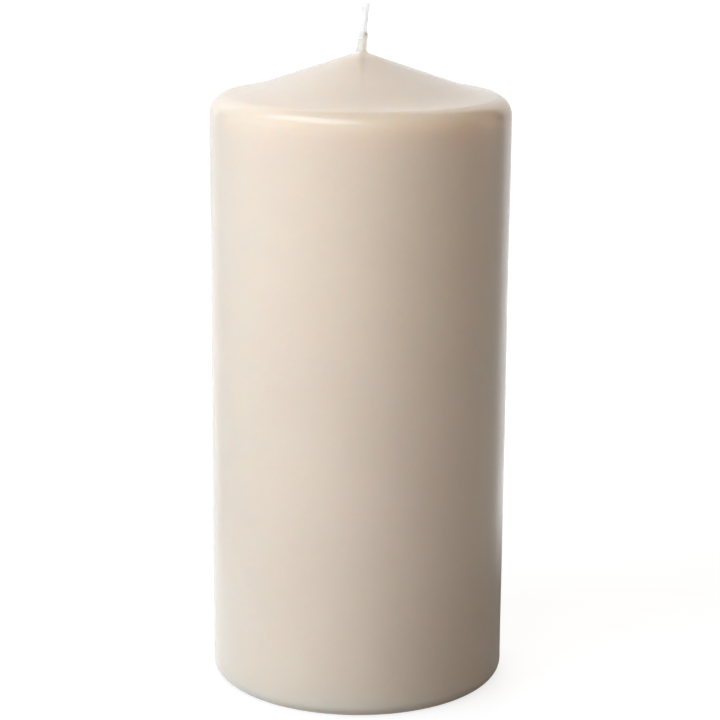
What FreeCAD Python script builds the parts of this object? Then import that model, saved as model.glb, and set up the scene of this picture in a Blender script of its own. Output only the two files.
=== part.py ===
"""Pillar table candle: a turned wax body with a shallow domed top, cast round one plaited cotton wick.

Millimetres, +Z up. The origin is the centre of the base, on the surface that the candle stands on.
The wick leans towards +X where it leaves the wax.
"""
import FreeCAD
import Part
import math
import os

V = FreeCAD.Vector

# Wax body, from the base to the peak of its top
body_diameter = 70.0
body_height = 150.0
foot_radius = 3.0

# Top of the wax: a rounded shoulder, a narrow gently sloping land, then a shallow cone up to the wick
shoulder_radius = 3.65
land_width = 2.5
land_slope = 9.0
cone_slope = 18.9
land_blend_radius = 32.0

# Underside: a shallow dish leaves a standing ring, and a dimple in it holds the trimmed end of the wick
standing_ring_width = 6.0
dish_depth = 1.0
dish_flank_width = 1.5
dimple_diameter = 8.0
dimple_depth = 1.5
dimple_flank_width = 1.2
underside_blend_radius = 0.6

# Wick: four strand lobes, upright in the wax, then a short bend into a straight leaning free end
wick_diameter = 1.85
lobe_share = 0.55
wick_free_height = 10.8
wick_lean = 4.8
wick_bend_radius = 20.0
wick_bend_depth = 1.2
tip_cut_slope = 12.0

# Wax that climbed the wick while the candle set: a thin coat with an oblique rim, and a meniscus at its foot
coat_height = 3.75
coat_rim_slope = 24.0
coat_rim_wall = 0.13
coat_foot_wall = 0.34
meniscus_radius = 1.1

body_radius = body_diameter / 2
wick_radius = wick_diameter / 2
wick_foot_z = dish_depth + dimple_depth
bend_start_z = body_height - wick_bend_depth


def turned(radius, height):
    """A point of a turned profile, in the XZ plane."""
    return V(radius, 0, height)


def rounded_edges(corners):
    """Edges through corners of the form (point, radius): straight runs joined by tangent arcs."""
    edges = []
    start = corners[0][0]
    for before, here, after in zip(corners, corners[1:], corners[2:]):
        point, radius = here
        to_before = (before[0] - point).normalize()
        to_after = (after[0] - point).normalize()
        if radius > 0:
            half_angle = to_before.getAngle(to_after) / 2
            reach = radius / math.tan(half_angle)
            bisector = (to_before + to_after).normalize()
            arc_start = point + to_before * reach
            arc_end = point + to_after * reach
            arc_middle = point + bisector * (radius / math.sin(half_angle) - radius)
            edges.append(Part.LineSegment(start, arc_start).toShape())
            edges.append(Part.Arc(arc_start, arc_middle, arc_end).toShape())
            start = arc_end
        else:
            edges.append(Part.LineSegment(start, point).toShape())
            start = point
    edges.append(Part.LineSegment(start, corners[-1][0]).toShape())
    return edges


def top_corners():
    """The two corners of the top's profile: shoulder to land, and land to cone."""
    turn = math.radians(90 - land_slope)
    land_start = body_radius - shoulder_radius * (1 - math.cos(turn))
    blend_half_turn = math.radians(cone_slope - land_slope) / 2
    blend_reach = land_blend_radius * math.tan(blend_half_turn) * math.cos(math.radians(land_slope))
    land_end = land_start - land_width - blend_reach
    land_end_z = body_height - land_end * math.tan(math.radians(cone_slope))
    shoulder_z = land_end_z - (body_radius - land_end) * math.tan(math.radians(land_slope))
    return turned(body_radius, shoulder_z), turned(land_end, land_end_z)


def turned_body():
    """The wax as it comes from the mould, without its wick: one closed profile turned about the axis."""
    shoulder, land_end = top_corners()
    ring_inner = body_radius - foot_radius - standing_ring_width
    dimple_radius = dimple_diameter / 2
    corners = [
        (turned(0, wick_foot_z), 0),
        (turned(dimple_radius - dimple_flank_width, wick_foot_z), 0),
        (turned(dimple_radius, dish_depth), underside_blend_radius),
        (turned(ring_inner - dish_flank_width, dish_depth), underside_blend_radius),
        (turned(ring_inner, 0), underside_blend_radius),
        (turned(body_radius, 0), foot_radius),
        (shoulder, shoulder_radius),
        (land_end, land_blend_radius),
        (turned(0, body_height), 0),
    ]
    edges = rounded_edges(corners)
    edges.append(Part.LineSegment(corners[-1][0], corners[0][0]).toShape())
    section = Part.Face(Part.Wire(edges))
    return section.revolve(V(0, 0, 0), V(0, 0, 1), 360)


def wick_frame():
    """Where the wick's bend ends, and the direction of its straight free end."""
    lean = math.radians(wick_lean)
    bend_end = V(wick_bend_radius * (1 - math.cos(lean)), 0, bend_start_z + wick_bend_radius * math.sin(lean))
    return bend_end, V(math.sin(lean), 0, math.cos(lean))


def on_wick(height):
    """The point of the free end's centreline at a height above the peak of the wax."""
    bend_end, direction = wick_frame()
    return bend_end + direction * ((body_height + height - bend_end.z) / direction.z)


def wick_path(top):
    """The wick's centreline: upright through the wax, a tangent arc, then straight to the tip."""
    half_lean = math.radians(wick_lean) / 2
    bend_start = V(0, 0, bend_start_z)
    bend_middle = V(wick_bend_radius * (1 - math.cos(half_lean)), 0,
                    bend_start_z + wick_bend_radius * math.sin(half_lean))
    bend_end = wick_frame()[0]
    return Part.Wire([
        Part.LineSegment(V(0, 0, wick_foot_z), bend_start).toShape(),
        Part.Arc(bend_start, bend_middle, bend_end).toShape(),
        Part.LineSegment(bend_end, top).toShape(),
    ])


def lobed_section():
    """Four strand lobes at the wick's trimmed foot: each lobe is an arc between two grooves."""
    lobe_radius = wick_radius * lobe_share
    lobe_offset = wick_radius - lobe_radius
    groove = (math.sqrt(2) * lobe_offset + math.sqrt(4 * lobe_radius ** 2 - 2 * lobe_offset ** 2)) / 2
    edges = []
    for quarter in range(4):
        middle = math.radians(90 * quarter)
        first, last = middle - math.pi / 4, middle + math.pi / 4
        edges.append(Part.Arc(
            V(groove * math.cos(first), groove * math.sin(first), wick_foot_z),
            V(wick_radius * math.cos(middle), wick_radius * math.sin(middle), wick_foot_z),
            V(groove * math.cos(last), groove * math.sin(last), wick_foot_z)).toShape())
    return Part.Wire(edges)


def space_above(point, direction, slope):
    """A block that fills the space above a plane through point, sloping down by slope towards +X."""
    size = 4 * (wick_diameter + coat_foot_wall) + wick_free_height
    block = Part.makeBox(2 * size, 2 * size, size, V(-size, -size, 0))
    block.rotate(V(0, 0, 0), V(0, 1, 0), math.degrees(direction.getAngle(V(0, 0, 1))) + slope)
    block.translate(point)
    return block


def make_wick():
    """The strand section swept along the centreline, and trimmed with a slanting cut."""
    direction = wick_frame()[1]
    tip = on_wick(wick_free_height)
    rod = wick_path(tip + direction * wick_diameter).makePipeShell([lobed_section()], True, False)
    return rod.cut(space_above(tip, direction, tip_cut_slope)).Solids[0]


def coat_round_wick():
    """The wax coat before it joins the body: a slim cone about the leaning free end, cut off obliquely."""
    direction = wick_frame()[1]
    root_radius = wick_radius + coat_foot_wall
    rim_radius = wick_radius + coat_rim_wall
    root = on_wick(-root_radius)
    rim = on_wick(coat_height)
    height = (rim - root).Length
    spare = wick_diameter
    taper = (root_radius - rim_radius) / height
    cone = Part.makeCone(root_radius, rim_radius - taper * spare, height + spare, root, direction)
    return cone.cut(space_above(rim, direction, -coat_rim_slope))


def meniscus_edges(shape):
    """The edges where the coat meets the cone of the top."""
    reach = wick_radius + coat_foot_wall + wick_diameter / 2
    lowest = body_height - reach
    found = []
    for edge in shape.Edges:
        box = edge.BoundBox
        near_axis = max(abs(box.XMin), abs(box.XMax), abs(box.YMin), abs(box.YMax)) < reach
        if near_axis and box.ZMin > lowest and box.ZMax < body_height + wick_radius and not edge.Degenerated:
            found.append(edge)
    return found


def make_wax_body(wick):
    """The turned body with its coat and meniscus fused on, and the wick's own form taken out of it."""
    joined = turned_body().fuse(coat_round_wick()).removeSplitter()
    filleted = joined.makeFillet(meniscus_radius, meniscus_edges(joined))
    return filleted.cut(wick).Solids[0]


wick = make_wick()
wax_body = make_wax_body(wick)

os.makedirs("parts", exist_ok=True)
for name, solid in (("wax_body", wax_body), ("wick", wick)):
    print(name, "valid", solid.isValid(), "volume", round(solid.Volume, 2), "mm3")
    solid.exportStep(os.path.join("parts", name + ".step"))
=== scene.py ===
# %% [markdown]
# A pillar table candle: one casting of beige wax, 70 mm across, with a white plaited wick.
# The solids come from the CAD model. Here the same forms are made finer and get their finish.
# Every cell makes one thing, and prints what it made, so that the file can be read like a lesson.

# %% Load the frame
import bpy
import math
from mathutils import Matrix, Vector


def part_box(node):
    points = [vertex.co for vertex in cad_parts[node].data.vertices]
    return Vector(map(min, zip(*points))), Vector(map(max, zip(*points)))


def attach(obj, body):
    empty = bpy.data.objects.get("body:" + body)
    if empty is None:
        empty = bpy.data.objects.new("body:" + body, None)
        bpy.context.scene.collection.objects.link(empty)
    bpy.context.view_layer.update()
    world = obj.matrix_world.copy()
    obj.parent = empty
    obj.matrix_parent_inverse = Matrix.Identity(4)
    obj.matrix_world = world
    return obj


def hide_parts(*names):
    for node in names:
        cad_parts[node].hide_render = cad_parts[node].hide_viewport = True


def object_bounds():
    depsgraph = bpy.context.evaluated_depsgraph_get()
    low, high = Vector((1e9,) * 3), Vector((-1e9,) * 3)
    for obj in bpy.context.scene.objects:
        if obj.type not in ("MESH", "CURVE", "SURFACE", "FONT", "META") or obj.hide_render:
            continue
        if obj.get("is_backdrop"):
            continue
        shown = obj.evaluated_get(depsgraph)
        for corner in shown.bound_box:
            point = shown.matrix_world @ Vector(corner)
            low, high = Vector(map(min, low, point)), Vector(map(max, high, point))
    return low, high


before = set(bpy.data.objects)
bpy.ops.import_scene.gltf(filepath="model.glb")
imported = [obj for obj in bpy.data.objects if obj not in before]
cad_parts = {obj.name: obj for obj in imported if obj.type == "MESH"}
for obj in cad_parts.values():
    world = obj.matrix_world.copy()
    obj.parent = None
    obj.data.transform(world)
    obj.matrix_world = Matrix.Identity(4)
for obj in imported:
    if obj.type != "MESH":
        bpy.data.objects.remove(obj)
cad_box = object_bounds()
print("CAD box", [round(value, 4) for corner in cad_box for value in corner])

# %% [markdown]
# The sizes come first. How wide the wax and the wick are, and where the wick starts, is read from the
# nodes of the CAD model. The others are the radii and slopes that a candle maker would give for the
# mould, in metres and radians.

# %% Sizes of the wax
MM = 0.001
wax_low, wax_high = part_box("wax_body")
wick_low, wick_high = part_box("wick")

body_radius = wax_high.x
wax_peak = 150.0 * MM
foot_radius = 3.0 * MM
shoulder_radius = 4.7 * MM
shoulder_slope = math.radians(24.4)
crease_radius = 31.6 * MM
crease_rounding = 0.3 * MM
land_end = 26.68 * MM
land_slope = math.radians(9.0)
cone_slope = math.radians(18.9)
land_blend_radius = 32.0 * MM

standing_ring_width = 6.0 * MM
dish_depth = 1.0 * MM
dish_flank_width = 1.5 * MM
dimple_radius = 4.0 * MM
dimple_flank_width = 1.2 * MM
underside_blend_radius = 0.6 * MM
print("wax", round(body_radius * 2 / MM, 1), "mm across,", round(wax_peak / MM, 1), "mm tall")

# %% Sizes of the wick and of the wax that climbed it
wick_radius = wick_high.y
wick_foot = wick_low.z
wick_tip = 160.8 * MM
wick_lean = math.radians(4.8)
wick_bend_radius = 20.0 * MM
wick_bend_start = wax_peak - 1.2 * MM
wick_lean_start = wick_bend_start + wick_bend_radius * math.tan(wick_lean / 2)
tip_cut_side = math.tan(math.radians(3.0))
tip_cut_front = math.tan(math.radians(20.0))

coat_height = 3.75 * MM
coat_rim_slope = math.radians(24.0)
coat_rim_wall = 0.13 * MM
coat_root_wall = 0.34 * MM
meniscus_radius = 1.1 * MM
rim_finish_height = 0.75 * MM
held_above_rim = 0.15 * MM
free_height = (wick_tip - wax_peak) / MM
print("wick", round(wick_radius * 2 / MM, 2), "mm thick,", round(free_height, 1), "mm of it free")

# %% [markdown]
# Geometry Nodes trees and shader trees are both made of nodes and links.
# A helper that adds a node, sets it and wires it in one call keeps the later cells short.

# %% Helpers for node trees
def add_node(tree, kind, wires=None, **settings):
    """Adds a node. wires maps an input's name or number to a value, or to the output that feeds it."""
    node = tree.nodes.new(kind)
    for name, value in settings.items():
        setattr(node, name, value)
    for key, value in (wires or {}).items():
        if isinstance(value, bpy.types.NodeSocket):
            tree.links.new(value, node.inputs[key])
        else:
            node.inputs[key].default_value = value
    return node


def calc(tree, operation, *values):
    """The output of a Math node on numbers or outputs."""
    return add_node(tree, "ShaderNodeMath", dict(enumerate(values)), operation=operation).outputs[0]


def ease(tree, value, low, high, to_low=0.0, to_high=1.0):
    """Eases a value from to_low, at low, to to_high, at high. low is the smaller of the two."""
    wires = {"Value": value, "From Min": low, "From Max": high, "To Min": to_low, "To Max": to_high}
    return add_node(tree, "ShaderNodeMapRange", wires, interpolation_type="SMOOTHSTEP").outputs["Result"]


def vary(tree, share, first, second):
    """A value between two others: the first where share is 0, the second where it is 1."""
    return add_node(tree, "ShaderNodeMix", {"Factor": share, "A": first, "B": second}).outputs["Result"]


def parts_of(tree, vector):
    """The X, Y and Z outputs of a vector."""
    return add_node(tree, "ShaderNodeSeparateXYZ", {0: vector}).outputs


def vector_of(tree, x, y, z):
    """A vector put together from three numbers or outputs."""
    return add_node(tree, "ShaderNodeCombineXYZ", {0: x, 1: y, 2: z}).outputs[0]


# %% [markdown]
# A tree for Geometry Nodes gets named inputs, so that a reader can change a size in the modifier.
# What it grows is then turned into a plain mesh.

# %% Helpers for Geometry Nodes
def new_growth(name, sizes):
    """A Geometry Nodes tree with a named input for each size. Returns it with its inputs and its output."""
    tree = bpy.data.node_groups.new(name, "GeometryNodeTree")
    tree.interface.new_socket("Geometry", in_out="INPUT", socket_type="NodeSocketGeometry")
    for label, value in sizes.items():
        kind = "NodeSocketInt" if isinstance(value, int) else "NodeSocketFloat"
        tree.interface.new_socket(label, in_out="INPUT", socket_type=kind)
    tree.interface.new_socket("Geometry", in_out="OUTPUT", socket_type="NodeSocketGeometry")
    return tree, tree.nodes.new("NodeGroupInput").outputs, tree.nodes.new("NodeGroupOutput").inputs


def finish_growth(tree, geometry, output, material, others=()):
    """Ends a tree: smooth faces, real geometry in place of instances, and the material.
    others lists more materials, each with the faces that it goes on."""
    smooth = add_node(tree, "GeometryNodeSetShadeSmooth", {"Geometry": geometry})
    real = add_node(tree, "GeometryNodeRealizeInstances", {"Geometry": smooth.outputs[0]})
    wires = {"Geometry": real.outputs[0], "Material": material}
    finished = add_node(tree, "GeometryNodeSetMaterial", wires)
    for other, faces in others:
        wires = {"Geometry": finished.outputs[0], "Selection": faces, "Material": other}
        finished = add_node(tree, "GeometryNodeSetMaterial", wires)
    tree.links.new(finished.outputs[0], output[0])


def grow(name, start_mesh, tree, sizes):
    """Runs a tree on a start mesh, and returns what it makes as a plain mesh object."""
    start = bpy.data.objects.new(name + "_start", start_mesh)
    bpy.context.scene.collection.objects.link(start)
    modifier = start.modifiers.new("growth", "NODES")
    modifier.node_group = tree
    for item in tree.interface.items_tree:
        if item.in_out == "INPUT" and item.name in sizes:
            modifier[item.identifier] = sizes[item.name]
    bpy.context.view_layer.update()
    evaluated = start.evaluated_get(bpy.context.evaluated_depsgraph_get())
    mesh = bpy.data.meshes.new_from_object(evaluated)
    bpy.data.objects.remove(start)
    mesh.name = name
    # The grid that the tree starts from brings an empty material slot, which nothing uses.
    if mesh.materials[0] is None:
        mesh.materials.pop(index=0)
    piece = bpy.data.objects.new(name, mesh)
    bpy.context.scene.collection.objects.link(piece)
    print(name, len(mesh.vertices), "points,", len(mesh.polygons), "faces")
    return piece


def wick_offset(tree, height):
    """How far the wick's centreline lies towards +X at a height: nothing in the wax, then the lean."""
    above = calc(tree, "SUBTRACT", height, wick_lean_start)
    bent = calc(tree, "SMOOTH_MAX", above, 0.0, wick_bend_radius * math.tan(wick_lean / 2))
    return calc(tree, "MULTIPLY", bent, math.tan(wick_lean))


# %% [markdown]
# Shader groups hold the effects that the finishes share. Cloudiness is the slow change of tone that
# cast wax and soaked cotton have. Fine relief is the grain that a satin surface shows up close.
# A group puts out only values, and each material feeds them to its own shader.

# %% Shared shader groups
def new_effect(name, inputs, output):
    """A shader node group with a vector input, named float inputs and one float output."""
    group = bpy.data.node_groups.new(name, "ShaderNodeTree")
    group.interface.new_socket("Vector", in_out="INPUT", socket_type="NodeSocketVector")
    for label in inputs:
        group.interface.new_socket(label, in_out="INPUT", socket_type="NodeSocketFloat")
    group.interface.new_socket(output, in_out="OUTPUT", socket_type="NodeSocketFloat")
    return group, group.nodes.new("NodeGroupInput").outputs, group.nodes.new("NodeGroupOutput").inputs


def make_clouding():
    """Soft patches: 0 to 1, about as large as Patch Size."""
    group, given, out = new_effect("clouding", ["Patch Size"], "Cloud")
    scale = calc(group, "DIVIDE", 1.0, given["Patch Size"])
    noise = add_node(group, "ShaderNodeTexNoise", {"Vector": given["Vector"], "Scale": scale,
                                                   "Detail": 3.0, "Roughness": 0.55, "Distortion": 0.6})
    group.links.new(ease(group, noise.outputs[0], 0.3, 0.7), out[0])
    return group


def make_fine_relief():
    """Height of a fine grain with sparse pits. Grain Size and Pit Size are in metres."""
    group, given, out = new_effect("fine_relief", ["Grain Size", "Pit Size"], "Height")
    grain_scale = calc(group, "DIVIDE", 1.0, given["Grain Size"])
    grain = add_node(group, "ShaderNodeTexNoise", {"Vector": given["Vector"], "Scale": grain_scale,
                                                   "Detail": 4.0, "Roughness": 0.5})
    pit_scale = calc(group, "DIVIDE", 1.0, given["Pit Size"])
    cells = add_node(group, "ShaderNodeTexVoronoi", {"Vector": given["Vector"], "Scale": pit_scale})
    pits = ease(group, cells.outputs["Distance"], 0.05, 0.16, -1.0, 0.0)
    group.links.new(calc(group, "ADD", grain.outputs[0], pits), out[0])
    return group


clouding = make_clouding()
fine_relief = make_fine_relief()
print("effects", clouding.name, fine_relief.name)


def use_effect(tree, group, **values):
    """Places a group in a material. A name's underscores stand for the spaces of an input's name."""
    node = add_node(tree, "ShaderNodeGroup", node_tree=group)
    for name, value in values.items():
        socket = node.inputs[name.replace("_", " ")]
        if isinstance(value, bpy.types.NodeSocket):
            tree.links.new(value, socket)
        else:
            socket.default_value = value
    return node.outputs[0]


def new_finish(name):
    """A material with an empty Principled shader, the object's own coordinates and the shader itself."""
    material = bpy.data.materials.new(name)
    material.use_nodes = True
    tree = material.node_tree
    shader = next(node for node in tree.nodes if node.type == "BSDF_PRINCIPLED")
    place = add_node(tree, "ShaderNodeTexCoord").outputs["Object"]
    return material, tree, shader, place


# %% [markdown]
# The wax is a smooth beige. Light enters it and comes out again some way on, redder than it went in,
# so the shader has subsurface scattering with a longer reach for red than for blue.
# The skin is smooth enough to mirror the bright surroundings along the candle's edges.
# Round the wick the wax is painted paler, a painted glow for the light that the white cotton passes into
# it.

# %% The wax's finish
def make_wax_finish():
    material, tree, shader, place = new_finish("beige_wax")
    cloud = use_effect(tree, clouding, Vector=place, Patch_Size=28 * MM)
    tone = add_node(tree, "ShaderNodeMix", {"Factor": cloud}, data_type="RGBA")
    tone.inputs["A"].default_value = (0.715, 0.611, 0.497, 1)
    tone.inputs["B"].default_value = (0.735, 0.629, 0.512, 1)
    # painted glow: the base colour turns paler towards the peak, round the wick
    painted_glow_near_wick = ease(tree, parts_of(tree, place)[2], wax_peak - 1.7 * MM, wax_peak - 0.3 * MM)
    pale = add_node(tree, "ShaderNodeMix", {"Factor": painted_glow_near_wick}, data_type="RGBA")
    tree.links.new(tone.outputs["Result"], pale.inputs["A"])
    pale.inputs["B"].default_value = (0.80, 0.74, 0.66, 1)
    tree.links.new(pale.outputs["Result"], shader.inputs["Base Color"])
    tree.links.new(ease(tree, cloud, 0.0, 1.0, 0.19, 0.24), shader.inputs["Roughness"])
    relief = use_effect(tree, fine_relief, Vector=place, Grain_Size=0.9 * MM, Pit_Size=3.2 * MM)
    bump = add_node(tree, "ShaderNodeBump", {"Height": relief, "Strength": 0.08, "Distance": 0.02 * MM})
    tree.links.new(bump.outputs[0], shader.inputs["Normal"])
    shader.inputs["IOR"].default_value = 1.44
    shader.inputs["Subsurface Weight"].default_value = 1.0
    shader.inputs["Subsurface Radius"].default_value = (1.0, 0.62, 0.40)
    shader.inputs["Subsurface Scale"].default_value = 12 * MM
    return material


wax_finish = make_wax_finish()
print("finish", wax_finish.name)

# %% [markdown]
# Where the wax climbed the wick it is only a film, and the white cotton shows through it. A mask in the
# wax's own material could change the colour there, but not how far the light goes, so the film has a
# finish of its own. Light goes right through film and wick, red and blue alike: the reach is far longer
# than the film is thick. At the rim the film thins out to nothing, and light can't go far in it. The rim
# gets the same finish with a short reach and a paler tone. The paler tone is painted light: it lifts the
# dark shade that the rim would otherwise render with.

# %% The film's finish
def make_film_finish(name, light_reach, low_tone, high_tone):
    """A film of wax over cotton. light_reach is how far the light goes inside it."""
    material, tree, shader, place = new_finish(name)
    climb = ease(tree, parts_of(tree, place)[2], wax_peak - 0.5 * MM, wax_peak + 1.6 * MM)
    tone = add_node(tree, "ShaderNodeMix", {"Factor": climb}, data_type="RGBA")
    tone.inputs["A"].default_value = (*low_tone, 1)
    tone.inputs["B"].default_value = (*high_tone, 1)
    tree.links.new(tone.outputs["Result"], shader.inputs["Base Color"])
    relief = use_effect(tree, fine_relief, Vector=place, Grain_Size=0.5 * MM, Pit_Size=1.6 * MM)
    bump = add_node(tree, "ShaderNodeBump", {"Height": relief, "Strength": 0.2, "Distance": 0.02 * MM})
    tree.links.new(bump.outputs[0], shader.inputs["Normal"])
    cloud = use_effect(tree, clouding, Vector=place, Patch_Size=2 * MM)
    tree.links.new(ease(tree, cloud, 0.0, 1.0, 0.24, 0.34), shader.inputs["Roughness"])
    shader.inputs["IOR"].default_value = 1.44
    shader.inputs["Subsurface Weight"].default_value = 1.0
    shader.inputs["Subsurface Radius"].default_value = (1.0, 0.95, 0.9)
    shader.inputs["Subsurface Scale"].default_value = light_reach
    return material


film_finish = make_film_finish("wax_film", 16 * MM, (0.60, 0.56, 0.47), (0.54, 0.505, 0.425))
# the rim's paler tone is painted light, which brightens its shade
rim_finish = make_film_finish("wax_film_rim", 0.8 * MM, (0.78, 0.75, 0.67), (0.78, 0.75, 0.67))
print("finishes", film_finish.name, rim_finish.name)

# %% [markdown]
# The wick is white cotton soaked in clear wax. Near the coat the soaking has a cream tint, and there the
# wick is also painted much paler than above: painted light that brightens the shade where it leaves the
# coat.
# It is so thin that light passes right through it, and no side of it is dark, so the light's reach is
# long. Where the wax holds it, no light comes from behind. So down from just above the coat, and at the
# trimmed end under the candle, it gets the same finish with a short reach.
# The fibres run lengthwise, so the grain is stretched along the wick by a Mapping node.

# %% The wick's finish
def make_wick_finish(name, light_reach):
    """Waxed cotton. light_reach is how far the light goes inside it."""
    material, tree, shader, place = new_finish(name)
    height = parts_of(tree, place)[2]
    # near the coat: a cream tint of the wax, and a paler tone that is painted light on the shaded wick
    cream_and_painted_light = ease(tree, height, wax_peak + coat_height, wax_peak + coat_height + 2.4 * MM, 1.0, 0.0)
    tone = add_node(tree, "ShaderNodeMix", {"Factor": cream_and_painted_light}, data_type="RGBA")
    tone.inputs["A"].default_value = (0.68, 0.68, 0.68, 1)
    tone.inputs["B"].default_value = (0.95, 0.93, 0.86, 1)
    tree.links.new(tone.outputs["Result"], shader.inputs["Base Color"])
    stretched = add_node(tree, "ShaderNodeMapping", {"Vector": place, "Scale": (1.0, 1.0, 0.12)}).outputs[0]
    fibres = use_effect(tree, fine_relief, Vector=stretched, Grain_Size=0.12 * MM, Pit_Size=0.5 * MM)
    bump = add_node(tree, "ShaderNodeBump", {"Height": fibres, "Strength": 0.5, "Distance": 0.03 * MM})
    tree.links.new(bump.outputs[0], shader.inputs["Normal"])
    cloud = use_effect(tree, clouding, Vector=place, Patch_Size=1.2 * MM)
    tree.links.new(ease(tree, cloud, 0.0, 1.0, 0.45, 0.65), shader.inputs["Roughness"])
    shader.inputs["Subsurface Weight"].default_value = 1.0
    shader.inputs["Subsurface Radius"].default_value = (1.0, 0.97, 0.94)
    shader.inputs["Subsurface Scale"].default_value = light_reach
    return material


wick_finish = make_wick_finish("waxed_cotton", 20 * MM)
held_finish = make_wick_finish("held_cotton", 1.2 * MM)
print("finishes", wick_finish.name, held_finish.name)

# %% [markdown]
# The wax is a turned form, so it is made as on a lathe: one outline, swung round the axis.
# The outline is straight runs with rounded corners. Each corner is given once, with its radius,
# and a short function puts in the points of the arcs and divides the runs.

# %% A rounded outline
def arc_points(corner, to_before, to_after, rounding, step):
    """Points along the arc that rounds a corner between two directions."""
    half_angle = to_before.angle(to_after) / 2
    centre = corner + (to_before + to_after).normalized() * (rounding / math.sin(half_angle))
    reach = rounding / math.tan(half_angle)
    spokes = [corner + direction * reach - centre for direction in (to_before, to_after)]
    first, last = (math.atan2(spoke.y, spoke.x) for spoke in spokes)
    turn = (last - first + math.pi) % (2 * math.pi) - math.pi
    count = max(3, math.ceil(abs(turn) / step))
    angles = [first + turn * part / count for part in range(count + 1)]
    return [centre + rounding * Vector((math.cos(angle), math.sin(angle))) for angle in angles]


def run_step(radius):
    """How far apart the points of a straight run are: close near the wick, where the forms are small."""
    return min(2.5 * MM, 0.16 * MM + 0.08 * radius)


def rounded_outline(corners, arc_step):
    """Points (radius, height) of straight runs whose corners (radius, height, rounding) are rounded."""
    places = [Vector(corner[:2]) for corner in corners]
    stops = [places[0]]
    for before, here, after, corner in zip(places, places[1:], places[2:], corners[1:]):
        if corner[2] == 0:
            stops.append(here)
        else:
            sides = (before - here).normalized(), (after - here).normalized()
            stops += arc_points(here, *sides, corner[2], arc_step)
    stops.append(places[-1])
    outline = [stops[0]]
    for start, end in zip(stops, stops[1:]):
        pieces = max(1, math.ceil((end - start).length / run_step(end.x)))
        outline += [start.lerp(end, part / pieces) for part in range(1, pieces + 1)]
    return outline


# %% [markdown]
# The outline starts on the axis under the candle, in the hole that holds the wick's trimmed end.
# It runs over the dimple, the dish and the standing ring, up the wall and over the shoulder. A crease,
# only slightly rounded, parts the shoulder from the land. The shoulder is rounder than the solid's and
# lies up to 0.4 mm inside it, because that is where the photograph shows its highlight and its crease.
# From the land the outline goes up the cone, through the meniscus and up the coat, and ends inside the
# wick, where nothing shows.

# %% The wax's outline
def wax_corners():
    """The corners of the wax's outline, from the underside to the coat's rim."""
    ring_inner = body_radius - foot_radius - standing_ring_width
    land_end_height = wax_peak - land_end * math.tan(cone_slope)
    crease_height = land_end_height - (crease_radius - land_end) * math.tan(land_slope)
    shoulder_height = crease_height - (body_radius - crease_radius) * math.tan(shoulder_slope)
    root, rim = wick_radius + coat_root_wall, wick_radius + coat_rim_wall
    taper = (root - rim) / (coat_height + root)
    meniscus = root * (1 - taper) / (1 - taper * math.tan(cone_slope))
    rim_height = wax_peak + coat_height
    hole, hole_depth = wick_radius * 0.7, 1.2 * MM
    return [
        (0, wick_foot + hole_depth, 0),
        (hole, wick_foot + hole_depth, 0),
        (hole, wick_foot, 0.05 * MM),
        (dimple_radius - dimple_flank_width, wick_foot, 0.4 * MM),
        (dimple_radius, dish_depth, underside_blend_radius),
        (ring_inner - dish_flank_width, dish_depth, underside_blend_radius),
        (ring_inner, 0, underside_blend_radius),
        (body_radius, 0, foot_radius),
        (body_radius, shoulder_height, shoulder_radius),
        (crease_radius, crease_height, crease_rounding),
        (land_end, land_end_height, land_blend_radius),
        (meniscus, wax_peak - meniscus * math.tan(cone_slope), meniscus_radius),
        (rim, rim_height - 0.45 * MM, 0.3 * MM),
        (wick_radius - 0.04 * MM, rim_height, 0),
        (0, rim_height, 0),
    ]


def outline_mesh(name, points):
    """A mesh of points and edges only, which a tree turns round the axis."""
    mesh = bpy.data.meshes.new(name)
    edges = [(index, index + 1) for index in range(len(points) - 1)]
    mesh.from_pydata([(point.x, 0, point.y) for point in points], edges, [])
    print(name, len(points), "points")
    return mesh


wax_outline = outline_mesh("wax_outline", rounded_outline(wax_corners(), math.radians(6)))

# %% [markdown]
# The tree lays a grid of points, one column for each turn step and one row for each point of the outline,
# and moves every grid point to its place on the turned form. Merging then closes the seam and the poles.
# A real candle is a little uneven, so the wall gets long, very low waves, always inwards.
# Last, the coat is shifted along the leaning wick, its rim is tilted, and a small bead and a run of wax
# are raised on it.

# %% Turn the wax
def turned_grid(tree, given):
    """The outline swung round the axis, as one closed mesh."""
    outline = given["Geometry"]
    rows = add_node(tree, "GeometryNodeAttributeDomainSize", {"Geometry": outline}).outputs["Point Count"]
    columns = calc(tree, "ADD", given["Turn Steps"], 1)
    wires = {"Size X": 1, "Size Y": 1, "Vertices X": columns, "Vertices Y": rows}
    grid = add_node(tree, "GeometryNodeMeshGrid", wires).outputs[0]
    place = parts_of(tree, add_node(tree, "GeometryNodeInputPosition").outputs[0])
    angle = calc(tree, "MULTIPLY", calc(tree, "ADD", place[0], 0.5), 2 * math.pi)
    row = calc(tree, "MULTIPLY", calc(tree, "ADD", place[1], 0.5), calc(tree, "SUBTRACT", rows, 1))
    source = add_node(tree, "GeometryNodeInputPosition").outputs[0]
    wires = {"Geometry": outline, "Value": source, "Index": calc(tree, "ROUND", row)}
    point = add_node(tree, "GeometryNodeSampleIndex", wires, data_type="FLOAT_VECTOR").outputs[0]
    radius, _, height = parts_of(tree, point)
    x = calc(tree, "MULTIPLY", radius, calc(tree, "COSINE", angle))
    y = calc(tree, "MULTIPLY", radius, calc(tree, "SINE", angle))
    wires = {"Geometry": grid, "Position": vector_of(tree, x, y, height)}
    moved = add_node(tree, "GeometryNodeSetPosition", wires).outputs[0]
    wires = {"Geometry": moved, "Distance": 0.001 * MM}
    return add_node(tree, "GeometryNodeMergeByDistance", wires).outputs[0]


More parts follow.
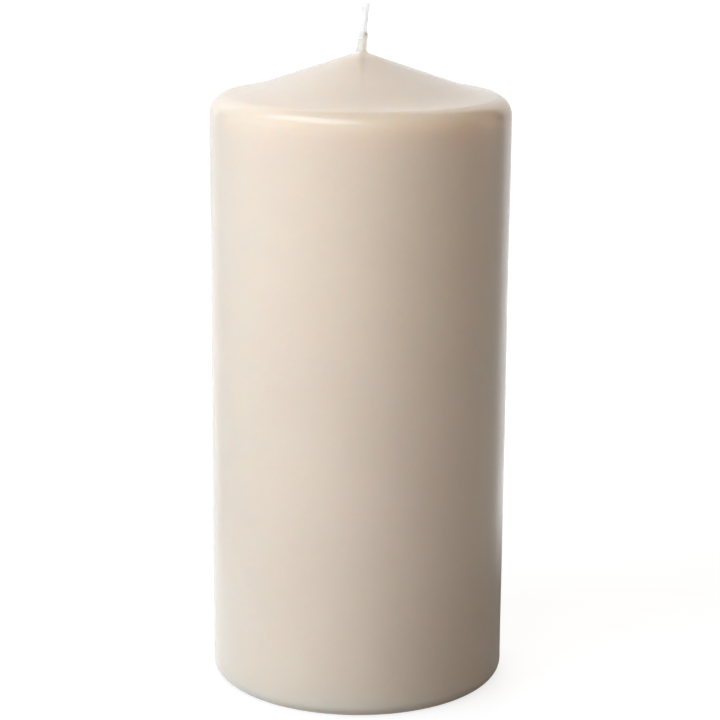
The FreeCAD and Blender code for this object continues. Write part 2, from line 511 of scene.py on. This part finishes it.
def turned_place(tree):
    """The radius, angle and height of a point, and its x and y."""
    x, y, height = parts_of(tree, add_node(tree, "GeometryNodeInputPosition").outputs[0])
    radius = calc(tree, "SQRT", calc(tree, "ADD", calc(tree, "POWER", x, 2), calc(tree, "POWER", y, 2)))
    return radius, calc(tree, "ARCTAN2", y, x), height, x, y


def add_waves(tree, geometry, given):
    """Pushes the wall and the top inwards by a slow noise. The foot and the coat stay true."""
    place = add_node(tree, "GeometryNodeInputPosition").outputs[0]
    radius, _, height, _, _ = turned_place(tree)
    scale = calc(tree, "DIVIDE", 1.0, given["Wave Length"])
    wires = {"Vector": place, "Scale": scale, "Detail": 1.0}
    noise = add_node(tree, "ShaderNodeTexNoise", wires).outputs[0]
    where = calc(tree, "MULTIPLY", ease(tree, height, 0.0, 12 * MM), ease(tree, radius, 3 * MM, 10 * MM))
    depth = calc(tree, "MULTIPLY", calc(tree, "MULTIPLY", noise, where), given["Wave Depth"])
    normal = add_node(tree, "GeometryNodeInputNormal").outputs[0]
    wires = {0: normal, "Scale": calc(tree, "MULTIPLY", depth, -1.0)}
    inward = add_node(tree, "ShaderNodeVectorMath", wires, operation="SCALE").outputs[0]
    return add_node(tree, "GeometryNodeSetPosition", {"Geometry": geometry, "Offset": inward}).outputs[0]


def swell(tree, value, centre, reach):
    """1 at a centre, easing to 0 at its reach on both sides."""
    away = calc(tree, "ABSOLUTE", calc(tree, "SUBTRACT", value, centre))
    return ease(tree, away, 0.0, reach, 1.0, 0.0)


def lean_coat(tree, geometry, given):
    """Raises a bead and a run of wax on the coat, leans the coat with the wick and tilts its rim."""
    radius, angle, height, x, y = turned_place(tree)
    inner = ease(tree, radius, 1.3 * MM, 3.2 * MM, 1.0, 0.0)
    near = calc(tree, "MULTIPLY", inner, ease(tree, height, 140 * MM, 145 * MM))
    on_skin = ease(tree, radius, wick_radius, wick_radius + 0.1 * MM)
    band = calc(tree, "MULTIPLY", ease(tree, height, wax_peak + 2.2 * MM, wax_peak + 2.6 * MM),
                ease(tree, height, wax_peak + 3.2 * MM, wax_peak + 3.75 * MM, 1.0, 0.25))
    bead = calc(tree, "MULTIPLY", band, swell(tree, angle, -0.2, 1.1))
    bead = calc(tree, "MULTIPLY", bead, given["Bead Height"])
    low_band = swell(tree, height, wax_peak + 0.2 * MM, 1.5 * MM)
    run = calc(tree, "MULTIPLY", low_band, swell(tree, angle, -0.84, 0.3))
    run = calc(tree, "MULTIPLY", run, given["Run Height"])
    out = calc(tree, "MULTIPLY", calc(tree, "ADD", bead, run), calc(tree, "MULTIPLY", near, on_skin))
    lean = calc(tree, "MULTIPLY", wick_offset(tree, height), near)
    up_coat = ease(tree, height, wax_peak + 0.25 * coat_height, wax_peak + 0.9 * coat_height)
    tilt = calc(tree, "MULTIPLY", calc(tree, "MULTIPLY", x, math.tan(coat_rim_slope)), up_coat)
    along_x = calc(tree, "ADD", lean, calc(tree, "MULTIPLY", out, calc(tree, "COSINE", angle)))
    along_y = calc(tree, "MULTIPLY", out, calc(tree, "SINE", angle))
    offset = vector_of(tree, along_x, along_y, tilt)
    return add_node(tree, "GeometryNodeSetPosition", {"Geometry": geometry, "Offset": offset}).outputs[0]


def height_along_rim(tree):
    """The height of a point, less what the coat's tilted rim rises on the way to it from the axis."""
    _, _, height, x, _ = turned_place(tree)
    return calc(tree, "SUBTRACT", height, calc(tree, "MULTIPLY", x, math.tan(coat_rim_slope)))


def film_faces(tree):
    """Picks the faces of the film that climbed the wick, and those of its tilted rim."""
    radius, _, height, _, _ = turned_place(tree)
    close = calc(tree, "LESS_THAN", radius, 2.0 * MM)
    film = calc(tree, "MULTIPLY", close, calc(tree, "GREATER_THAN", height, wax_peak - 0.1 * MM))
    high = calc(tree, "GREATER_THAN", height_along_rim(tree), wax_peak + coat_height - rim_finish_height)
    return film, calc(tree, "MULTIPLY", film, high)


def make_wax_tree():
    tree, given, output = new_growth("turned_wax", wax_sizes)
    turned = turned_grid(tree, given)
    waved = add_waves(tree, turned, given)
    leaning = lean_coat(tree, waved, given)
    film, rim = film_faces(tree)
    finish_growth(tree, leaning, output, wax_finish, [(film_finish, film), (rim_finish, rim)])
    return tree


wax_sizes = {"Turn Steps": 192, "Wave Depth": 0.07 * MM, "Wave Length": 34 * MM,
             "Bead Height": 0.13 * MM, "Run Height": 0.10 * MM}
candle_wax = grow("candle_wax", wax_outline, make_wax_tree(), wax_sizes)
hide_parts("wax_body")
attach(candle_wax, "root")

# %% [markdown]
# The wick is square-plaited cotton: four ribs run up it, and each is a column of slanting stitches.
# The wick is one skin, because wax fills the inner gaps, and next to the coat it fills the grooves too.
# It is turned from an outline like the wax, and then every point moves in or out, to the skin that
# round ribs with stitches have at its angle and height.

# %% The wick's outline
def wick_points():
    """From the axis under the candle up the side to the tip, with close rows where the wick stands free."""
    fine_start = wax_peak + 2 * MM
    tip_rounding = 0.12 * MM
    side_end = wick_tip - tip_rounding
    coarse, fine, steps = 3.0 * MM, 0.11 * MM, 8
    foot = wick_foot - 0.06 * MM
    points = [Vector((wick_radius * part / steps, foot)) for part in range(steps + 1)]
    rows = math.ceil((fine_start - foot) / coarse)
    points += [Vector((wick_radius, foot + (fine_start - foot) * row / rows)) for row in range(1, rows + 1)]
    rows = math.ceil((side_end - fine_start) / fine)
    rise = (side_end - fine_start) / rows
    points += [Vector((wick_radius, fine_start + rise * row)) for row in range(1, rows + 1)]
    for row in range(1, 5):
        turn = math.pi / 2 * row / 4
        inset = tip_rounding * (1 - math.cos(turn))
        points.append(Vector((wick_radius - inset, side_end + tip_rounding * math.sin(turn))))
    cap_radius = wick_radius - tip_rounding
    points += [Vector((cap_radius * (1 - part / steps), wick_tip)) for part in range(1, steps + 1)]
    return points


wick_outline = outline_mesh("wick_outline", wick_points())

# %% Carve the wick
wick_sizes = {"Turn Steps": 128, "Ribs": 4, "Rib Radius": 0.50 * MM, "Twist Length": 110 * MM,
              "Stitch Length": 2.4 * MM, "Stitch Depth": 0.07 * MM, "Fibre Depth": 0.035 * MM,
              "End Flare": 0.10 * MM}


def ribbed_skin(tree, given, angle, height):
    """The radius of the skin: round ribs side by side, each a column of slanting stitches."""
    half_rib = calc(tree, "DIVIDE", math.pi, given["Ribs"])
    twists = calc(tree, "DIVIDE", calc(tree, "SUBTRACT", height, wick_tip), given["Twist Length"])
    turned = calc(tree, "SUBTRACT", angle, calc(tree, "MULTIPLY", twists, 2 * math.pi))
    offset = calc(tree, "WRAP", turned, half_rib, calc(tree, "MULTIPLY", half_rib, -1.0))
    middle = calc(tree, "SUBTRACT", wick_radius, given["Rib Radius"])
    across = calc(tree, "POWER", calc(tree, "MULTIPLY", middle, calc(tree, "SINE", offset)), 2)
    reach = calc(tree, "SQRT", calc(tree, "SUBTRACT", calc(tree, "POWER", given["Rib Radius"], 2), across))
    rib = calc(tree, "ADD", calc(tree, "MULTIPLY", middle, calc(tree, "COSINE", offset)), reach)
    number = calc(tree, "ROUND", calc(tree, "DIVIDE", turned, calc(tree, "MULTIPLY", half_rib, 2.0)))
    slant = calc(tree, "DIVIDE", calc(tree, "ABSOLUTE", offset), calc(tree, "MULTIPLY", half_rib, 2.0))
    stitch = calc(tree, "ADD", calc(tree, "DIVIDE", height, given["Stitch Length"]), slant)
    stitch = calc(tree, "ADD", stitch, calc(tree, "MULTIPLY", number, 0.5))
    bump = calc(tree, "ABSOLUTE", calc(tree, "SINE", calc(tree, "MULTIPLY", stitch, math.pi)))
    seam = calc(tree, "SUBTRACT", 1.0, calc(tree, "SMOOTH_MIN", bump, 0.8, 0.3))
    dip = calc(tree, "MULTIPLY", seam, given["Stitch Depth"])
    open_groove = ease(tree, height, wax_peak + coat_height - 0.4 * MM, wax_peak + coat_height + 2.2 * MM)
    return vary(tree, open_groove, wick_radius, calc(tree, "SUBTRACT", rib, dip))


def make_wick_tree():
    tree, given, output = new_growth("carved_wick", wick_sizes)
    turned = turned_grid(tree, given)
    _, angle, height, x, y = turned_place(tree)
    place = vector_of(tree, x, y, calc(tree, "MULTIPLY", height, 0.1))
    wires = {"Vector": place, "Scale": 1 / (0.2 * MM), "Detail": 2.0}
    fibres = add_node(tree, "ShaderNodeTexNoise", wires).outputs[0]
    fibre = calc(tree, "MULTIPLY", calc(tree, "SUBTRACT", fibres, 0.6), given["Fibre Depth"])
    near_tip = ease(tree, height, wick_tip - 2.6 * MM, wick_tip)
    flare = calc(tree, "MULTIPLY", near_tip, swell(tree, angle, 0.0, 1.4))
    open_end = calc(tree, "MULTIPLY", flare, given["End Flare"])
    skin = calc(tree, "ADD", calc(tree, "ADD", ribbed_skin(tree, given, angle, height), fibre), open_end)
    share = calc(tree, "DIVIDE", skin, wick_radius)
    new_x, new_y = calc(tree, "MULTIPLY", x, share), calc(tree, "MULTIPLY", y, share)
    sideways = calc(tree, "MULTIPLY", new_x, tip_cut_side)
    cut = calc(tree, "ADD", sideways, calc(tree, "MULTIPLY", new_y, tip_cut_front))
    wires = {"Vector": place, "Scale": 1 / (0.45 * MM), "Detail": 2.0}
    ends = add_node(tree, "ShaderNodeTexNoise", wires).outputs[0]
    on_cap = ease(tree, height, wick_tip - 0.3 * MM, wick_tip, 0.0, 0.25 * MM)
    ragged = calc(tree, "MULTIPLY", calc(tree, "SUBTRACT", ends, 0.5), on_cap)
    up = calc(tree, "ADD", calc(tree, "MULTIPLY", cut, near_tip), ragged)
    leaning = calc(tree, "ADD", new_x, wick_offset(tree, height))
    carved = vector_of(tree, leaning, new_y, calc(tree, "ADD", height, up))
    moved = add_node(tree, "GeometryNodeSetPosition", {"Geometry": turned, "Position": carved})
    held = calc(tree, "LESS_THAN", height_along_rim(tree), wax_peak + coat_height + held_above_rim)
    finish_growth(tree, moved.outputs[0], output, wick_finish, [(held_finish, held)])
    return tree


carved_wick = grow("carved_wick", wick_outline, make_wick_tree(), wick_sizes)
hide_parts("wick")
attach(carved_wick, "root")

# %% [markdown]
# The candle stands on a plain pale floor. The floor looks white to the camera, by a little light of its own
# that the object doesn't get, and it still takes the candle's shadow. In reflections it glows white behind
# the candle, as a lit backdrop is, which draws the pale strips along the candle's edges, and it has a
# middle tone elsewhere. Close to the foot this reflected glow is a painted pool of light on the lit left
# and a painted shadow on the right.

# %% A sector behind the candle
backdrop_half_angle = math.radians(41)


def behind(tree, vector):
    """1 where a place or a direction lies behind the candle, and 0 at the sides and in front."""
    x, y, _ = parts_of(tree, vector)
    turn = calc(tree, "ABSOLUTE", calc(tree, "ARCTAN2", x, y))
    soft = math.radians(2)
    return ease(tree, turn, backdrop_half_angle - soft, backdrop_half_angle + soft, 1.0, 0.0)


# %% Floor
floor_glow = 0.78


def make_floor():
    mesh = bpy.data.meshes.new("floor")
    corners = [(-6, -6, 0), (6, -6, 0), (6, 6, 0), (-6, 6, 0)]
    mesh.from_pydata(corners, [], [(0, 1, 2, 3)])
    floor = bpy.data.objects.new("floor", mesh)
    bpy.context.scene.collection.objects.link(floor)
    material, tree, shader, place = new_finish("pale_floor")
    shader.inputs["Base Color"].default_value = (0.3, 0.3, 0.3, 1)
    shader.inputs["Roughness"].default_value = 0.9
    shader.inputs["Specular IOR Level"].default_value = 0.0
    shader.inputs["Emission Color"].default_value = (1, 1, 1, 1)
    rays = add_node(tree, "ShaderNodeLightPath").outputs
    reach = add_node(tree, "ShaderNodeVectorMath", {0: place}, operation="LENGTH").outputs["Value"]
    seen = calc(tree, "MAXIMUM", rays["Is Camera Ray"], rays["Is Transmission Ray"])
    white = calc(tree, "MULTIPLY", seen, ease(tree, reach, 0.12, 0.6, floor_glow, 1.0))
    from_front = add_node(tree, "ShaderNodeVectorMath", {0: place, 1: (0, 0.05, 0)}).outputs[0]
    far_away = calc(tree, "MAXIMUM", behind(tree, from_front), 0.48)
    # painted pool of light on the lit left and painted shadow on the right, seen in reflections near the
    # foot
    painted_light_and_shadow_by_foot = ease(tree, parts_of(tree, place)[0], -0.05, 0.05, 1.0, 0.0)
    glow = vary(tree, ease(tree, reach, 0.07, 0.16), painted_light_and_shadow_by_foot, far_away)
    mirrored = calc(tree, "MULTIPLY", rays["Is Glossy Ray"], glow)
    tree.links.new(calc(tree, "MAXIMUM", white, mirrored), shader.inputs["Emission Strength"])
    mesh.materials.append(material)
    floor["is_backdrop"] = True
    return floor


floor = make_floor()
print("floor", floor.name)

# %% [markdown]
# Soft studio light: a large cool softbox low on the left, two small ones close above the front, and a weak
# warm one on the right, so that the wax falls gently from cream to brown. Another lights the edge from the
# left behind, and another stands straight behind the candle and shines through the wick. The wax would
# mirror most of them as bright patches, so these are left out of reflections. The pale streak on the
# shoulder is the reflection of one more softbox, high on the left, which gives no other light. It hangs
# so high that the cone doesn't mirror it towards somebody who looks from the right.
# The camera doesn't see the softboxes themselves.

# %% Lights
def add_softbox(name, azimuth, elevation, distance, width, height, power, colour, mirrored=True):
    """A rectangular lamp that looks at the candle's middle. Azimuth 0 is in front and 90 on the right.
    A lamp that isn't mirrored gives light, but reflections don't show it."""
    lamp = bpy.data.lights.new(name, "AREA")
    lamp.shape = "RECTANGLE"
    lamp.size, lamp.size_y = width, height
    lamp.energy = power
    lamp.color = colour
    turn, tilt = math.radians(azimuth), math.radians(elevation)
    away = Vector((math.sin(turn) * math.cos(tilt), -math.cos(turn) * math.cos(tilt), math.sin(tilt)))
    softbox = bpy.data.objects.new(name, lamp)
    softbox.location = Vector((0, 0, wax_peak / 2)) + away * distance
    softbox.rotation_euler = away.to_track_quat("Z", "Y").to_euler()
    softbox.visible_camera = False
    softbox.visible_glossy = mirrored
    bpy.context.scene.collection.objects.link(softbox)
    return softbox


white, cool, half_cool, warm = (1, 1, 1), (0.88, 1.0, 1.13), (0.94, 1.0, 1.13), (1.13, 1.0, 0.86)
add_softbox("key_softbox", -60, 6, distance=1.1, width=0.9, height=0.9,
            power=13.1, colour=cool, mirrored=False)
add_softbox("front_softbox", -40, 38, distance=0.45, width=0.5, height=0.35,
            power=0.88, colour=half_cool, mirrored=False)
add_softbox("fill_softbox", 6, 42, distance=0.45, width=0.4, height=0.3,
            power=0.66, colour=warm, mirrored=False)
add_softbox("wick_softbox", 180, 12, distance=0.6, width=0.3, height=0.2,
            power=2.0, colour=white, mirrored=False)
add_softbox("side_softbox", 110, 8, distance=1.1, width=0.5, height=0.7, power=0.96, colour=warm)
add_softbox("back_softbox", -135, 35, distance=1.1, width=0.5, height=0.7, power=0.6, colour=cool)
streak = add_softbox("streak_softbox", -54, 62, distance=0.45, width=0.42, height=0.18,
                     power=1.15, colour=(0.8, 1.0, 1.17))
streak.visible_diffuse = False

# %% [markdown]
# The world is white to the camera. For every other ray it is a bright backdrop behind the candle, brighter
# higher up, and dark elsewhere. The wax mirrors it along its edges, and on the top at a low angle.

# %% World
def make_world():
    """White to the camera, and a bright backdrop behind the candle for the light and the reflections."""
    world = bpy.data.worlds.new("studio")
    bpy.context.scene.world = world
    world.use_nodes = True
    tree = world.node_tree
    background = next(node for node in tree.nodes if node.type == "BACKGROUND")
    background.inputs["Color"].default_value = (1, 1, 1, 1)
    rays = add_node(tree, "ShaderNodeLightPath").outputs
    seen = calc(tree, "MAXIMUM", rays["Is Camera Ray"], rays["Is Transmission Ray"])
    direction = add_node(tree, "ShaderNodeTexCoord").outputs["Generated"]
    rise = parts_of(tree, direction)[2]
    not_high = ease(tree, rise, math.sin(math.radians(50)), math.sin(math.radians(65)), 1.0, 0.0)
    backdrop = calc(tree, "MULTIPLY", behind(tree, direction), not_high)
    lit = calc(tree, "MULTIPLY", backdrop, ease(tree, rise, 0.0, 0.6, 1.05, 1.45))
    tree.links.new(calc(tree, "MAXIMUM", seen, lit), background.inputs["Strength"])


make_world()
print("world", bpy.context.scene.world.name)

# %% [markdown]
# The camera stands a little above the candle's top and looks down at it. Its place, lens and slight roll
# are those that put the candle's outline where the photograph has it, with no lens shift.

# %% Camera
camera_distance = 521.3 * MM
camera_height = 206.6 * MM
camera_side = 0.25 * MM
camera_pitch = math.radians(13.99)
camera_roll = math.radians(0.43)
focal_pixels, picture_pixels = 2261, 720

camera = bpy.data.objects.new("camera", bpy.data.cameras.new("camera"))
camera.data.sensor_width = 36.0
camera.data.lens = focal_pixels * camera.data.sensor_width / picture_pixels
camera.data.clip_start, camera.data.clip_end = 0.01, 50
camera.location = (camera_side, -camera_distance, camera_height)
aim = Matrix.Rotation(math.pi / 2 - camera_pitch, 3, "X") @ Matrix.Rotation(camera_roll, 3, "Z")
camera.rotation_euler = aim.to_euler()
bpy.context.scene.collection.objects.link(camera)
bpy.context.scene.camera = camera
bpy.context.scene.view_settings.view_transform = "Standard"
print("camera lens", round(camera.data.lens, 1), "mm")

# %% [markdown]
# The box of the CAD solids and the box of the finished candle are gathered side by side. The finished
# candle stays within the solids' box, but for the wick's ragged tip, which reaches 0.06 mm above it.

# %% Gather the boxes
boxes = {"cad": cad_box, "visual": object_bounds()}
boxes = {name: [list(corner) for corner in box] for name, box in boxes.items()}
